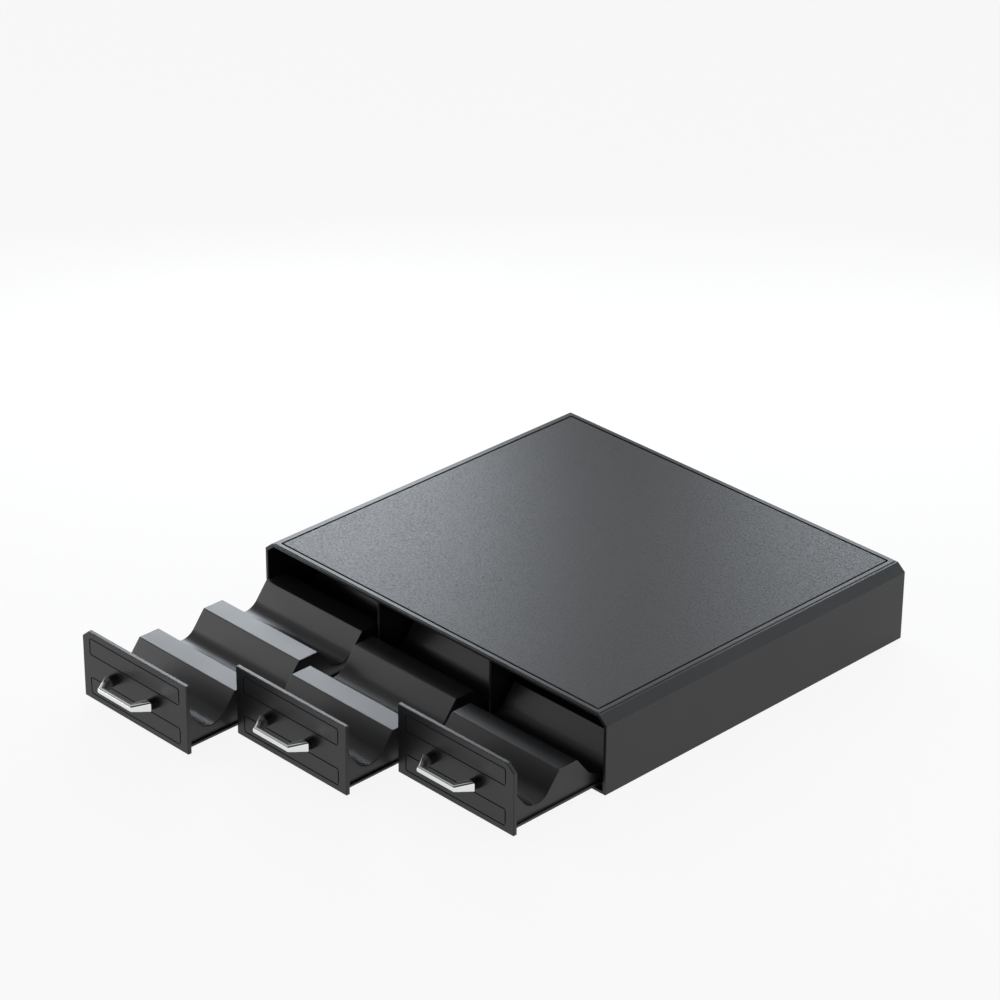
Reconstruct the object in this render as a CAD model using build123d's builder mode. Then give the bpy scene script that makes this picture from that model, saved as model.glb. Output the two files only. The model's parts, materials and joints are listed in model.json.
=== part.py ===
from build123d import *
from math import cos, hypot, radians, sin, tan
import os

# A low cabinet that stands under a coffee machine, with three drawers side by side.
# Each drawer is a corrugated tray whose troughs hold the pods on edge, two to a row.
# Millimetres. X runs left to right as seen from the front, Y from front to back, Z up.
# The origin is the centre of the cabinet's footprint, on the counter it stands on.

# Housing shell: top, side walls and back in one moulding, open below and in front
housing_width = 348.0
housing_depth = 310.0
housing_height = 61.0
wall = 2.8
top_thickness = 3.0
chamfer_run = 7.9
chamfer_drop = 6.6
shell_edge_bevel = 0.4

# The top steps up to a plateau, and a grained mat lies in a recess of the plateau
step_width = 1.0
step_height = 0.6
rim_side = 3.3
rim_front = 3.3
mat_gap = 1.4
mat_thickness = 1.2
recess_corner_radius = 1.5
mat_edge_bevel = 0.3

# Base plate, closing the shell from below, with a pair of C-shaped rails for each drawer
foot_stand = 1.0
base_thickness = 2.0
base_fit = 0.2
rail_height = 3.3
rail_inset = 1.5
rail_web = 1.5
rail_lip = 1.2
rail_setback = 4.5

# Dividers between the drawers, which also carry the middle of the top
divider_thickness = 2.0
divider_setback = 4.5
slot_clearance = 0.15
slot_rib_thickness = 1.2
slot_rib_height = 2.5
boss_radius = 3.0
boss_height = 20.0
boss_clearance = 0.3
tongue_length = 20.0
tongue_inset = 40.0

# Rubber feet, half sunk in the base plate
foot_width = 18.0
foot_length = 12.0
foot_recess = 0.8
foot_fit = 0.15
foot_bevel = 0.4
foot_inset_x = 24.0
foot_inset_y = 20.0

# Countersunk screws that hold the base plate to the dividers
base_screw_radius = 1.45
base_screw_length = 10.0
base_screw_head_radius = 2.8
screw_clearance = 0.1

# Drawer fronts, and how far each drawer stands open
openings = {"left": 173.6, "middle": 130.1, "right": 83.8}
front_thickness = 3.0
front_recess = 0.5
front_side_gap = 0.8
front_gap = 1.4
front_top_gap = 0.8
front_bottom_gap = 0.7
front_corner_gap = 1.8
front_corner_radius = 2.5
front_square_radius = 0.8
front_edge_bevel = 0.5
groove_margin_side = 7.5
groove_margin = 4.5
groove_panel_height = 14.0
groove_width = 1.0
groove_depth = 0.6
groove_radius = 2.2

# Bow handles, each on two round bosses of its front
handle_spacing = 43.4
handle_boss_radius = 4.3
handle_boss_height = 3.5
leg_width = 7.4
leg_height = 8.2
leg_straight = 2.5
grip_half_length = 18.0
grip_reach = 18.5
grip_depth = 4.4
grip_height = 5.0
handle_bevel = 0.9
handle_screw_radius = 1.5
handle_screw_head_radius = 2.9
handle_screw_bite = 4.5
handle_hole_spare = 0.5

# Barbed clips that hold a tray to its front
clip_spacing = 56.0
clip_width = 12.0
clip_thickness = 2.4
clip_reach = 5.0
clip_barb = 1.0
clip_rise = 4.0
clip_clearance = 0.3

# Corrugated trays
rows = 5
well_pitch = 59.9
well_mouth = 42.4
well_slope = radians(52)
well_radius = 14.4
front_land = 1.6
land_bevel = 0.6
tray_side_inset = 4.4
tray_height = 27.5
tray_wall = 2.0
flange_reach = 1.5
flange_height = 2.0
tray_rear_gap = 0.4

# Running clearance, and the stops that keep a drawer from coming right out
run_clearance = 0.3
full_opening = 245.0
stop_ear_length = 8.0
stop_ear_height = 3.0
stop_height = 3.2
stop_length = 3.0

# Levels that the pieces share
bottom_z = foot_stand
top_z = bottom_z + housing_height
ceiling_z = top_z - top_thickness
base_top_z = bottom_z + base_thickness
rail_top_z = base_top_z + rail_height
tray_bottom_z = rail_top_z + run_clearance
lip_bottom_z = tray_bottom_z + flange_height + run_clearance
lip_top_z = lip_bottom_z + rail_lip
ear_bottom_z = lip_top_z + run_clearance
front_bottom_z = base_top_z + front_bottom_gap
front_top_z = ceiling_z - front_top_gap
handle_z = (front_bottom_z + front_top_z) / 2
clip_z = tray_bottom_z + clip_rise

# Planes from front to back
front_y = -housing_depth / 2
back_y = housing_depth / 2
back_inner_y = back_y - wall
rail_front_y = front_y + rail_setback
divider_front_y = front_y + divider_setback
divider_length = back_inner_y - divider_front_y
divider_mid_y = (back_inner_y + divider_front_y) / 2
tongue_spacing = divider_length - 2 * tongue_inset
closed_tray_back_y = back_inner_y - tray_rear_gap
tray_length = closed_tray_back_y - (front_y + front_recess + front_thickness)
closed_ear_y = closed_tray_back_y - tray_wall - stop_ear_length
stop_y = closed_ear_y - full_opening - front_recess - run_clearance

# Widths across the bays
inner_half_width = housing_width / 2 - wall
base_half_width = inner_half_width - base_fit
front_width = (2 * inner_half_width - 2 * front_side_gap - 2 * front_gap) / 3
front_height = front_top_z - front_bottom_z
bay_pitch = front_width + front_gap
tray_half_width = front_width / 2 - tray_side_inset
flange_half_width = tray_half_width + flange_reach
lip_inner = tray_half_width + run_clearance
rail_inner = tray_half_width - rail_inset
rail_pocket = flange_half_width + run_clearance
rail_outer = rail_pocket + rail_web
divider_xs = (-bay_pitch / 2, bay_pitch / 2)
divider_spots = [(x, divider_mid_y) for x in divider_xs]

os.makedirs("parts", exist_ok=True)


def corner_cut(inset, side_x, roof_z):
    """Where a line parallel to the right-hand chamfer, this far inside it, meets a side and a roof."""
    slant = hypot(chamfer_run, chamfer_drop)
    normal_x = chamfer_drop / slant
    normal_z = chamfer_run / slant
    reach = normal_x * (housing_width / 2 - chamfer_run) + normal_z * top_z - inset
    on_side = (side_x, (reach - normal_x * side_x) / normal_z)
    on_roof = ((reach - normal_z * roof_z) / normal_x, roof_z)
    return on_side, on_roof


def mirrored(points):
    """The points reflected in X, in reverse, so that they go on round the outline."""
    return [(-x, z) for x, z in reversed(points)]


def screw_outline(shank_radius, head_radius, length):
    """Half section of a countersunk screw along +Y, with its head's flat face on the origin."""
    head_height = head_radius - shank_radius
    return [(0, 0), (head_radius, 0), (shank_radius, head_height), (shank_radius, length), (0, length)]


def draw_corrugation():
    """A tray's upper side, seen from its side: a narrow land, then a trough and a land for each row."""
    trough_depth = well_mouth / 2 * tan(well_slope) - well_radius * (1 / cos(well_slope) - 1)
    trough_floor = tray_height - trough_depth
    tangent_run = well_radius * sin(well_slope)
    tangent_z = trough_floor + well_radius * (1 - cos(well_slope))
    Line((0, tray_height), (front_land, tray_height))
    for row in range(rows):
        near = front_land + row * well_pitch
        middle = near + well_mouth / 2
        far = near + well_mouth
        land_end = near + well_pitch if row < rows - 1 else tray_length
        arc_start = (middle - tangent_run, tangent_z)
        arc_end = (middle + tangent_run, tangent_z)
        Line((near, tray_height), arc_start)
        ThreePointArc(arc_start, (middle, trough_floor), arc_end)
        Line(arc_end, (far, tray_height))
        Line((far, tray_height), (land_end, tray_height))


# Housing shell
outer_half = [(housing_width / 2, bottom_z), *corner_cut(0, housing_width / 2, top_z)]
inner_half = [(inner_half_width, bottom_z), *corner_cut(wall, inner_half_width, ceiling_z)]
plateau_width = housing_width - 2 * chamfer_run - 2 * step_width
plateau_depth = housing_depth - 2 * step_width
recess_width = plateau_width - 2 * rim_side
recess_depth = plateau_depth - 2 * rim_front
slot_inner_width = divider_thickness + 2 * slot_clearance
slot_outer_width = slot_inner_width + 2 * slot_rib_thickness

with BuildPart() as housing_shell:
    with BuildSketch(Plane.XZ):
        with BuildLine():
            Polyline(*outer_half, *mirrored(outer_half), close=True)
        make_face()
    extrude(amount=housing_depth / 2, both=True)
    with BuildSketch(Plane.XZ.offset(-front_y)):
        with BuildLine():
            Polyline(*inner_half, *mirrored(inner_half), close=True)
        make_face()
    extrude(amount=-(housing_depth - wall), mode=Mode.SUBTRACT)
    with BuildSketch(Plane.XY.offset(top_z)):
        Rectangle(housing_width, housing_depth)
        Rectangle(plateau_width, plateau_depth, mode=Mode.SUBTRACT)
    extrude(amount=-step_height, mode=Mode.SUBTRACT)
    plateau = housing_shell.faces().sort_by(Axis.Z)[-1]
    chamfer(plateau.edges(), shell_edge_bevel)
    with BuildSketch(Plane.XY.offset(top_z)):
        RectangleRounded(recess_width, recess_depth, recess_corner_radius)
    extrude(amount=-mat_thickness, mode=Mode.SUBTRACT)
    rear_corners = housing_shell.edges().filter_by(Axis.Z).group_by(Axis.Y)[-1]
    chamfer(rear_corners, shell_edge_bevel)
    mouth = housing_shell.faces().filter_by(Axis.Y).sort_by(Axis.Y)[0]
    chamfer(mouth.edges().group_by(Axis.Z)[1:], shell_edge_bevel)
    # Pairs of ribs under the top take the dividers' upper edges between them.
    with BuildSketch(Plane.XY.offset(ceiling_z)):
        with Locations(*divider_spots):
            Rectangle(slot_outer_width, divider_length)
            Rectangle(slot_inner_width, divider_length, mode=Mode.SUBTRACT)
    extrude(amount=-slot_rib_height)
housing_shell.part.label = "housing_shell"
export_step(housing_shell.part, "parts/housing_shell.step")

# Grained mat, in the recess of the top
with BuildPart() as top_mat:
    with BuildSketch(Plane.XY.offset(top_z - mat_thickness)):
        Rectangle(recess_width - 2 * mat_gap, recess_depth - 2 * mat_gap)
    extrude(amount=mat_thickness)
    chamfer(top_mat.faces().sort_by(Axis.Z)[-1].edges(), mat_edge_bevel)
top_mat.part.label = "top_mat"
export_step(top_mat.part, "parts/top_mat.step")

# Base plate, with its rails and drawer stops
base_back_y = back_inner_y - base_fit
boss_gap = 2 * (boss_radius + boss_clearance)
foot_x = housing_width / 2 - foot_inset_x
foot_y = housing_depth / 2 - foot_inset_y
foot_spots = {
    "foot_front_left": (-foot_x, -foot_y),
    "foot_front_right": (foot_x, -foot_y),
    "foot_centre": (0.0, 0.0),
    "foot_rear_left": (-foot_x, foot_y),
    "foot_rear_right": (foot_x, foot_y),
}

with BuildPart() as base_panel:
    with BuildSketch(Plane.XY.offset(bottom_z)):
        with Locations((0, (front_y + base_back_y) / 2)):
            Rectangle(2 * base_half_width, base_back_y - front_y)
    extrude(amount=base_thickness)
    for bay in (-1, 0, 1):
        for side in (-1, 1):
            # The outermost webs run on to the shell's walls.
            web_outer = base_half_width - bay_pitch if bay == side else rail_outer
            rail_section = [
                (rail_inner, base_top_z),
                (web_outer, base_top_z),
                (web_outer, lip_top_z),
                (lip_inner, lip_top_z),
                (lip_inner, lip_bottom_z),
                (rail_pocket, lip_bottom_z),
                (rail_pocket, rail_top_z),
                (rail_inner, rail_top_z),
            ]
            with BuildSketch(Plane.XZ.offset(-rail_front_y)):
                with BuildLine():
                    Polyline(*[(bay * bay_pitch + side * x, z) for x, z in rail_section], close=True)
                make_face()
            extrude(amount=rail_front_y - base_back_y)
            stop_x = bay * bay_pitch + side * (lip_inner + rail_outer) / 2
            with BuildSketch(Plane.XY.offset(lip_top_z)):
                with Locations((stop_x, stop_y - stop_length / 2)):
                    Rectangle(rail_outer - lip_inner, stop_length)
            extrude(amount=stop_height)
    # The dividers' screw bosses stand in gaps of the rails, and their tongues in slots of the plate.
    with BuildSketch(Plane.XY.offset(base_top_z)):
        with Locations(*divider_spots):
            Rectangle(boss_gap, boss_gap)
    extrude(amount=lip_top_z - base_top_z, mode=Mode.SUBTRACT)
    with BuildSketch(Plane.XY.offset(bottom_z)):
        with Locations(*divider_spots):
            with GridLocations(0, tongue_spacing, 1, 2):
                Rectangle(slot_inner_width, tongue_length + 2 * slot_clearance)
    extrude(amount=base_thickness, mode=Mode.SUBTRACT)
    with Locations(Plane(origin=(0, 0, bottom_z), x_dir=(1, 0, 0), z_dir=(0, 0, -1))):
        with Locations(*[(x, -y) for x, y in divider_spots]):
            CounterSinkHole(
                base_screw_radius + screw_clearance,
                base_screw_head_radius + screw_clearance,
                counter_sink_angle=90,
            )
    with BuildSketch(Plane.XY.offset(bottom_z)):
        with Locations(*foot_spots.values()):
            Rectangle(foot_width + 2 * foot_fit, foot_length + 2 * foot_fit)
    extrude(amount=foot_recess, mode=Mode.SUBTRACT)
base_panel.part.label = "base_panel"
export_step(base_panel.part, "parts/base_panel.step")

# Dividers, each with a screw boss at mid length, and a tongue towards each end
for name, divider_spot in zip(("divider_left", "divider_right"), divider_spots):
    with BuildPart() as divider:
        with BuildSketch(Plane.XY.offset(base_top_z)):
            with Locations(divider_spot):
                Rectangle(divider_thickness, divider_length)
        extrude(amount=ceiling_z - base_top_z)
        with BuildSketch(Plane.XY.offset(base_top_z)):
            with Locations(divider_spot):
                with GridLocations(0, tongue_spacing, 1, 2):
                    Rectangle(divider_thickness, tongue_length)
        extrude(amount=-base_thickness)
        with BuildSketch(Plane.XY.offset(base_top_z)):
            with Locations(divider_spot):
                Circle(boss_radius)
        extrude(amount=boss_height)
        with BuildSketch(Plane.XY.offset(base_top_z)):
            with Locations(divider_spot):
                Circle(base_screw_radius + screw_clearance)
        extrude(amount=base_screw_length, mode=Mode.SUBTRACT)
    divider.part.label = name
    export_step(divider.part, f"parts/{name}.step")

# Rubber feet: one near each corner, and one that carries the middle under a heavy machine
for name, spot in foot_spots.items():
    with BuildPart() as foot:
        with BuildSketch(Plane.XY):
            with Locations(spot):
                Rectangle(foot_width, foot_length)
        extrude(amount=foot_stand + foot_recess)
        chamfer(foot.edges().group_by(Axis.Z)[0], foot_bevel)
    foot.part.label = name
    export_step(foot.part, f"parts/{name}.step")

# Screws of the base plate
base_screw = screw_outline(base_screw_radius, base_screw_head_radius, base_screw_length)

with BuildPart() as base_screws:
    for screw_x, screw_y in divider_spots:
        with BuildSketch(Plane(origin=(screw_x, screw_y, bottom_z), x_dir=(1, 0, 0), z_dir=(0, -1, 0))):
            with BuildLine():
                Polyline(*base_screw, close=True)
            make_face()
        revolve(axis=Axis((screw_x, screw_y, bottom_z), (0, 0, 1)))
base_screws.part.label = "base_screws"
export_step(base_screws.part, "parts/base_screws.step")

# Drawers
front_half = front_width / 2
groove_rise = front_height / 2 - groove_margin - groove_panel_height / 2
groove_panel_width = front_width - 2 * groove_margin_side
leg_reach = handle_boss_height + leg_straight
leg_outer = (handle_spacing + leg_width) / 2
leg_inner = (handle_spacing - leg_width) / 2
handle_outer_half = [
    (leg_outer, -handle_boss_height),
    (leg_outer, -leg_reach),
    (grip_half_length, -grip_reach),
]
handle_inner_half = [
    (leg_inner, -handle_boss_height),
    (leg_inner, -leg_reach),
    (grip_half_length - grip_depth, -(grip_reach - grip_depth)),
]
handle_side = [
    (-handle_boss_height, leg_height / 2),
    (-leg_reach, leg_height / 2),
    (-(grip_reach - grip_depth), grip_height / 2),
    (-grip_reach, grip_height / 2),
]
handle_feet = [(-handle_spacing / 2, 0), (handle_spacing / 2, 0)]
handle_screw_length = front_thickness + handle_boss_height + handle_screw_bite
handle_screw = screw_outline(handle_screw_radius, handle_screw_head_radius, handle_screw_length)

for bay, (drawer, opening) in zip((-1, 0, 1), openings.items()):
    drawer_x = bay * bay_pitch
    face_y = front_y - opening
    front_back_y = face_y + front_thickness
    tray_mid_y = front_back_y + tray_length / 2
    tray_back_y = front_back_y + tray_length
    face_plane = Plane(origin=(drawer_x, face_y, handle_z), x_dir=(1, 0, 0), z_dir=(0, -1, 0))
    behind_plane = Plane(origin=(drawer_x, front_back_y, handle_z), x_dir=(-1, 0, 0), z_dir=(0, 1, 0))

    # Front: an outer drawer's front loses the corner under the shell's chamfer
    with BuildPart() as front:
        with BuildSketch(face_plane) as outline:
            Rectangle(front_width, front_height)
            if bay:
                on_side, on_roof = corner_cut(wall + front_corner_gap, bay_pitch + front_half, front_top_z)
                with BuildLine():
                    Polyline(
                        (bay * (on_roof[0] - bay_pitch), front_height / 2),
                        (bay * front_half, on_side[1] - handle_z),
                        (bay * front_half, front_height / 2),
                        close=True,
                    )
                make_face(mode=Mode.SUBTRACT)
            lost_corner = (bay * front_half, front_height / 2)
            cut_ends = outline.vertices().sort_by_distance(lost_corner)[: 2 * abs(bay)]
            fillet(outline.vertices() - cut_ends, front_square_radius)
            if cut_ends:
                fillet(cut_ends, front_corner_radius)
        extrude(amount=-front_thickness)
        chamfer(front.faces().sort_by(Axis.Y)[0].edges(), front_edge_bevel)
        with BuildSketch(face_plane):
            with Locations((0, groove_rise), (0, -groove_rise)):
                RectangleRounded(groove_panel_width, groove_panel_height, groove_radius)
                RectangleRounded(
                    groove_panel_width - 2 * groove_width,
                    groove_panel_height - 2 * groove_width,
                    groove_radius - groove_width,
                    mode=Mode.SUBTRACT,
                )
        extrude(amount=-groove_depth, mode=Mode.SUBTRACT)
        with BuildSketch(face_plane):
            with Locations(*handle_feet):
                Circle(handle_boss_radius)
        extrude(amount=handle_boss_height)
        with Locations(behind_plane):
            with Locations(*handle_feet):
                CounterSinkHole(
                    handle_screw_radius + screw_clearance,
                    handle_screw_head_radius + screw_clearance,
                    counter_sink_angle=90,
                )
        for side in (-1, 1):
            with BuildSketch(Plane.YZ.offset(drawer_x + side * clip_spacing / 2)):
                with BuildLine():
                    Polyline(
                        (front_back_y, clip_z),
                        (front_back_y + clip_reach, clip_z),
                        (front_back_y + clip_reach, clip_z + clip_thickness),
                        (front_back_y + tray_wall + clip_clearance, clip_z + clip_thickness + clip_barb),
                        (front_back_y + tray_wall + clip_clearance, clip_z + clip_thickness),
                        (front_back_y, clip_z + clip_thickness),
                        close=True,
                    )
                make_face()
            extrude(amount=clip_width / 2, both=True)
    front.part.label = f"{drawer}_front"
    export_step(front.part, f"parts/{drawer}_front.step")

    # Bow handle: its plan crossed with its side view
    with BuildPart() as handle:
        with BuildSketch(Plane(origin=(drawer_x, face_y, handle_z), x_dir=(1, 0, 0), z_dir=(0, 0, 1))):
            with BuildLine():
                Polyline(
                    *handle_outer_half,
                    *mirrored(handle_outer_half),
                    *[(-x, y) for x, y in handle_inner_half],
                    *reversed(handle_inner_half),
                    close=True,
                )
            make_face()
        extrude(amount=leg_height, both=True)
        with BuildSketch(Plane(origin=(drawer_x, face_y, handle_z), x_dir=(0, 1, 0), z_dir=(1, 0, 0))):
            with BuildLine():
                Polyline(*handle_side, *[(y, -z) for y, z in reversed(handle_side)], close=True)
            make_face()
        extrude(amount=handle_spacing, both=True, mode=Mode.INTERSECT)
        grip_face = handle.faces().sort_by(Axis.Y)[0]
        chamfer(grip_face.edges(), handle_bevel)
        with Locations(behind_plane.offset(-front_thickness - handle_boss_height)):
            with Locations(*handle_feet):
                Hole(handle_screw_radius + screw_clearance, depth=handle_screw_bite + handle_hole_spare)
    handle.part.label = f"{drawer}_handle"
    export_step(handle.part, f"parts/{drawer}_handle.step")

    # Handle screws, put in from behind the front
    with BuildPart() as handle_screws:
        for side in (-1, 1):
            screw_head = (drawer_x + side * handle_spacing / 2, front_back_y, handle_z)
            with BuildSketch(Plane(origin=screw_head, x_dir=(1, 0, 0), z_dir=(0, 0, -1))):
                with BuildLine():
                    Polyline(*handle_screw, close=True)
                make_face()
            revolve(axis=Axis(screw_head, (0, 1, 0)))
    handle_screws.part.label = f"{drawer}_handle_screws"
    export_step(handle_screws.part, f"parts/{drawer}_handle_screws.step")

    # Tray: a corrugated deck with a front and a rear wall, open below and at both ends
    side_plane = Plane(origin=(drawer_x, front_back_y, tray_bottom_z), x_dir=(0, 1, 0), z_dir=(1, 0, 0))
    with BuildPart() as tray:
        with BuildSketch(side_plane) as profile:
            with BuildLine():
                draw_corrugation()
                Polyline((tray_length, tray_height), (tray_length, 0), (0, 0), (0, tray_height))
            make_face()
            land_ends = profile.vertices().group_by(Axis.Y)[-1].sort_by(Axis.X)
            chamfer(land_ends[2:-1], land_bevel)
        extrude(amount=tray_half_width, both=True)
        open_faces = tray.faces().filter_by(Axis.X) + tray.faces().sort_by(Axis.Z)[:1]
        offset(amount=-tray_wall, openings=open_faces)
        with BuildSketch(behind_plane):
            with Locations((0, clip_z + clip_thickness / 2 - handle_z)):
                with GridLocations(clip_spacing, 0, 2, 1):
                    Rectangle(clip_width + 2 * clip_clearance, clip_thickness + 2 * clip_clearance)
        extrude(amount=tray_wall, mode=Mode.SUBTRACT)
    tray.part.label = f"{drawer}_tray"
    export_step(tray.part, f"parts/{drawer}_tray.step")

    # Side walls: they fill the deck's open ends, and slide in the rails on their flanges
    for side_name, side in (("left", -1), ("right", 1)):
        flange_x = drawer_x + side * (tray_half_width + flange_reach / 2)
        with BuildPart() as tray_side:
            with BuildSketch(side_plane.offset(side * tray_half_width)):
                add(profile.sketch_local)
            extrude(amount=-side * tray_wall)
            add(tray.part, mode=Mode.SUBTRACT)
            with BuildSketch(Plane.XY.offset(tray_bottom_z)):
                with Locations((flange_x, tray_mid_y)):
                    Rectangle(flange_reach, tray_length - 2 * tray_wall)
            extrude(amount=flange_height)
            with BuildSketch(Plane.XY.offset(ear_bottom_z)):
                with Locations((flange_x, tray_back_y - tray_wall - stop_ear_length / 2)):
                    Rectangle(flange_reach, stop_ear_length)
            extrude(amount=stop_ear_height)
        tray_side.part.label = f"{drawer}_tray_side_{side_name}"
        export_step(tray_side.part, f"parts/{drawer}_tray_side_{side_name}.step")
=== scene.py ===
# %% [markdown]
# # A pod drawer cabinet, dressed around its construction model
# The cabinet is low and black, with a grained top and three drawers side by side.
# Its size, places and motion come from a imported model, which is loaded first and stays as it is.
# This notebook adds what the eye judges: finishes, bright handles, screws, feet, light and a camera.

# %% Load the model
import bmesh
import bpy
import json
from math import cos, pi, radians, sin, tan
from mathutils import Matrix, Vector


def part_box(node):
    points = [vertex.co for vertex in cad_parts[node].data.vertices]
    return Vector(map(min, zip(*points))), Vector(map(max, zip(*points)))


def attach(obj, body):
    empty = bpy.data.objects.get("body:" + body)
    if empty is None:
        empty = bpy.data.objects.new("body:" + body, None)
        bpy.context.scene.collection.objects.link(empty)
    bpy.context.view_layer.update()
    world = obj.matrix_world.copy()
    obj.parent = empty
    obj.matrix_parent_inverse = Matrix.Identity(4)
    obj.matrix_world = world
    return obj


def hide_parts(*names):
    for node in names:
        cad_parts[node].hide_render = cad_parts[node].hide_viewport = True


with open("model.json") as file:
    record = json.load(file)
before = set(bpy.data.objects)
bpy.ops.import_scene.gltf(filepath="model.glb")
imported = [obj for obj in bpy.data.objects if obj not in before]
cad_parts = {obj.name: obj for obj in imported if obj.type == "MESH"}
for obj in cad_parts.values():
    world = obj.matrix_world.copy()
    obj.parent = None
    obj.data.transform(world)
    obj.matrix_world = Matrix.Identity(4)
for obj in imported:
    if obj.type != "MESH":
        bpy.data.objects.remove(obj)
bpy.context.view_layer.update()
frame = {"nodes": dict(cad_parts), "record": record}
MM = 0.001
DRAWERS = ("left", "middle", "right")

# %% [markdown]
# ## The camera
# A product picture is taken from well back, with a long lens, so the cabinet's edges stay nearly parallel.
# The camera is set by its place and three angles: yaw about the vertical, pitch below the horizon, and roll.

# %% Place the camera
camera_place = Vector((1.6511, -1.7124, 1.3654))
camera_yaw = radians(45.43)
camera_pitch = radians(27.94)
camera_roll = radians(0.434)
LENS_MM = 134.34
SENSOR_MM = 36.0

camera = bpy.data.objects.new("camera", bpy.data.cameras.new("camera"))
camera.data.lens = LENS_MM
camera.data.sensor_width = SENSOR_MM
turned = Matrix.Rotation(camera_yaw, 4, "Z") @ Matrix.Rotation(pi / 2 - camera_pitch, 4, "X")
camera.matrix_world = Matrix.Translation(camera_place) @ turned @ Matrix.Rotation(camera_roll, 4, "Z")
bpy.context.scene.collection.objects.link(camera)
bpy.context.scene.camera = camera
print("camera is", round(camera_place.length, 2), "m from the cabinet")

# %% [markdown]
# ## Small helpers
# One function adds a node, sets its properties, and fills or links its inputs.
# Another turns an sRGB hex colour, as a paint program shows it, into the linear values that shaders use.
# A third turns a pattern's real size into the scale that a texture node asks for.

# %% Helpers for nodes, colours and patterns
MM_PER_METRE = 1000


def add_node(tree, kind, inputs=None, **settings):
    """Adds a node. inputs maps an input's name or number to a value, or to a socket to link."""
    node = tree.nodes.new(kind)
    for name, value in settings.items():
        setattr(node, name, value)
    for key, value in (inputs or {}).items():
        if isinstance(value, bpy.types.NodeSocket):
            tree.links.new(value, node.inputs[key])
        else:
            node.inputs[key].default_value = value
    return node


def hex_colour(code):
    """Linear RGBA of an sRGB colour such as #1f1f21, by the standard's own curve."""
    channels = [int(code[i:i + 2], 16) / 255 for i in (1, 3, 5)]
    linear = [c / 12.92 if c <= 0.04045 else ((c + 0.055) / 1.055) ** 2.4 for c in channels]
    return (*linear, 1.0)


def scale_of(size_mm):
    """The scale of a texture whose cells are this many millimetres across."""
    return MM_PER_METRE / size_mm


def new_material(name, colour, roughness, metallic=0.0, ior=1.5):
    """A material with a Principled shader, whose even values are set on the shader itself."""
    material = bpy.data.materials.new(name)
    material.use_nodes = True
    shader = material.node_tree.nodes["Principled BSDF"]
    shader.inputs["Base Color"].default_value = hex_colour(colour)
    shader.inputs["Roughness"].default_value = roughness
    shader.inputs["Metallic"].default_value = metallic
    shader.inputs["IOR"].default_value = ior
    return material, material.node_tree, shader


# %% [markdown]
# ## Black ABS, injection moulded
# The housing, dividers, fronts and trays are black ABS from a finely spark-eroded steel mould.
# That leaves a satin skin: light spreads a little on it, and slow flow marks make it slightly uneven.
# Two noise patterns do this: a fine one for the mould's skin, as bump, and a broad one for the roughness.
# ABS has an IOR of about 1.53, so at a low angle its black turns grey with what it mirrors.

# %% Make the moulded plastics
SKIN_MM = 0.9  # the real skin is about 0.1 mm, too fine to show, so it is drawn coarser and fainter
FLOW_MM = 45.0
FLOW_SMOOTHER = 0.04  # flow marks take the roughness as far as this below the given value
FLOW_ROUGHER = 0.05  # and as far as this above it
ABS_IOR = 1.53


def moulded_abs(name, colour, roughness, skin_depth):
    """Satin moulded ABS. skin_depth is the bump's height in millimetres."""
    material, tree, shader = new_material(name, colour, roughness, ior=ABS_IOR)
    place = add_node(tree, "ShaderNodeTexCoord").outputs["Object"]
    flow = add_node(
        tree, "ShaderNodeTexNoise", {"Vector": place, "Scale": scale_of(FLOW_MM), "Detail": 2.0})
    shaded = add_node(
        tree, "ShaderNodeMapRange",
        {"Value": flow.outputs["Fac"], "To Min": roughness - FLOW_SMOOTHER,
         "To Max": roughness + FLOW_ROUGHER},
    )
    skin = add_node(
        tree, "ShaderNodeTexNoise", {"Vector": place, "Scale": scale_of(SKIN_MM), "Detail": 3.0})
    bump = add_node(
        tree, "ShaderNodeBump",
        {"Height": skin.outputs["Fac"], "Distance": skin_depth * MM, "Strength": 1.0},
    )
    tree.links.new(shaded.outputs["Result"], shader.inputs["Roughness"])
    tree.links.new(bump.outputs["Normal"], shader.inputs["Normal"])
    return material


housing_abs = moulded_abs("satin_black_abs_housing", "#161618", roughness=0.42, skin_depth=0.004)
drawer_abs = moulded_abs("satin_black_abs_drawers", "#161618", roughness=0.38, skin_depth=0.003)
print("moulded plastics:", housing_abs.name, "and", drawer_abs.name)

# %% [markdown]
# ## The grained top
# The top holds an inset with a leather-like grain, which hides scratches and keeps things from sliding.
# Each grain is a low pebble about a millimetre across. Voronoi cells give the pebbles and their valleys.

# %% Make the grained top
GRAIN_MM = 1.3
GRAIN_DEPTH_MM = 0.08
GRAINS_PER_WANDER = 3  # the rows of pebbles wander over about three of them
VALLEY_DISTANCE = 0.7  # the Voronoi distance at which a valley is reached
PEBBLE_ROUGHNESS = 0.36
VALLEY_ROUGHNESS = 0.54

grained_top, tree, shader = new_material("grained_black_tpe", "#141415", roughness=0.45, ior=1.5)
place = add_node(tree, "ShaderNodeTexCoord").outputs["Object"]
wander = add_node(
    tree, "ShaderNodeTexNoise",
    {"Vector": place, "Scale": scale_of(GRAINS_PER_WANDER * GRAIN_MM), "Detail": 2.0},
)
shifted = add_node(
    tree, "ShaderNodeVectorMath",
    {0: wander.outputs["Color"], 1: (GRAIN_MM * MM,) * 3, 2: place}, operation="MULTIPLY_ADD",
)
pebbles = add_node(
    tree, "ShaderNodeTexVoronoi", {"Vector": shifted.outputs["Vector"], "Scale": scale_of(GRAIN_MM)},
    feature="SMOOTH_F1",
)
bump = add_node(
    tree, "ShaderNodeBump",
    {"Height": pebbles.outputs["Distance"], "Distance": GRAIN_DEPTH_MM * MM, "Strength": 1.0}, invert=True,
)
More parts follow.
